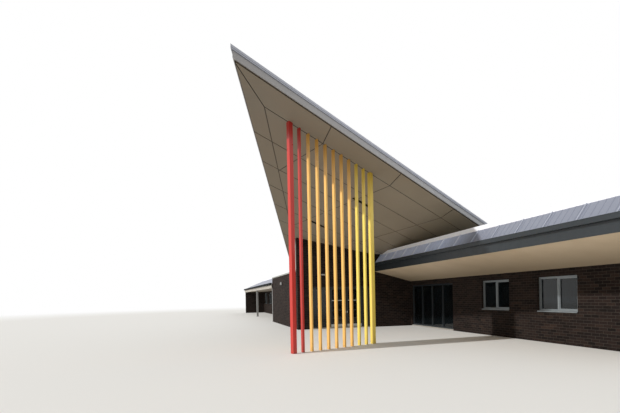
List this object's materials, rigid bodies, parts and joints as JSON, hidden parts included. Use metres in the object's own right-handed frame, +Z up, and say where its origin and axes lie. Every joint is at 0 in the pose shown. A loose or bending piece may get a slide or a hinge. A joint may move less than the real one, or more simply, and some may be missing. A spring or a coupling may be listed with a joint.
{
  "type": "school building",
  "caption": "School building with a raked triangular prow roof over its entry, a screen of red, amber and yellow posts, dark brick walls and metal eaves",
  "frame": {"origin": "middle of the building's plan extents, at the underside of the floor slab and the posts, on the ground", "axes": "+Z up; +Y runs north along the building's length; +X runs east along the entry wall; the entry faces -Y and the wing's eave faces -X"},
  "size_m": [15.8046, 39.68, 7.5734],
  "materials": {
    "brick": "dark charcoal-brown face brick with raked joints",
    "concrete": "steel-trowelled concrete",
    "frame": "satin grey powder-coated aluminium",
    "glass": "clear glass before dark rooms",
    "pale_lining": "pale painted sheet",
    "prow_lining": "warm grey fibre-cement sheet, matt",
    "prow_fascia": "light warm grey painted sheet metal",
    "prow_cap": "warm grey folded sheet metal",
    "gutter": "charcoal gutter and fascia, satin",
    "roof_metal": "blue-grey seamed roof sheet, satin",
    "roof_deck": "grey roof sheet, matt",
    "capping": "off-white folded capping",
    "structure": "grey primed steel",
    "light": "opal lamp cover in a pale case",
    "dark_slot": "black lamp slot",
    "downpipe": "pale painted pipe",
    "post_grey": "pale grey painted steel post",
    "red": "glossy red paint on steel",
    "amber": "glossy amber paint on steel",
    "yellow": "glossy yellow paint on steel"
  },
  "bodies": {
    "building": {"floor_slab": "concrete", "entry_wall_left": "brick", "entry_wall_head": "brick", "entry_wall_right": "brick", "entry_frame": "frame", "entry_glass": "glass", "low_wall": "brick", "low_roof": "roof_deck", "cappings": "capping", "wall_lights": "light", "corner_downpipe": "downpipe", "wing_wall_west": "brick", "wing_wall_south": "brick", "east_wall": "brick", "north_wall": "brick", "north_wall_west": "brick", "hall_wall_west": "brick", "window_frames": "frame", "screen_frame": "gutter", "wing_glass": "glass", "end_glass": "glass", "east_glass": "glass", "porch_glass": "glass", "wing_soffit": "pale_lining", "wing_fascia": "gutter", "skirt_roof": "roof_metal", "roof_deck": "roof_deck", "prow_frame": "structure", "prow_sheet": "roof_metal", "prow_fascia": "prow_fascia", "prow_cap": "prow_cap", "soffit_panels": "prow_lining", "dark_recesses": "dark_slot", "verandah_roof": "roof_metal", "verandah_ceiling": "pale_lining", "verandah_fascia": "pale_lining", "verandah_gutter": "gutter", "verandah_posts": "post_grey", "red_posts": "red", "amber_posts": "amber", "yellow_posts": "yellow"},
    "left_leaf": {"door_left": "frame", "door_left_glass": "glass"},
    "right_leaf": {"door_right": "frame", "door_right_glass": "glass"}
  },
  "joints": [
    {"name": "left_leaf_hinge", "type": "hinge", "parent": "building", "child": "left_leaf", "pos_m": [-2.43766, -6.135, 0.056], "axis": [0, 0, -1], "range_deg": [0, 90]},
    {"name": "right_leaf_hinge", "type": "hinge", "parent": "building", "child": "right_leaf", "pos_m": [-0.73766, -6.135, 0.056], "axis": [0, 0, 1], "range_deg": [0, 90]}
  ]
}
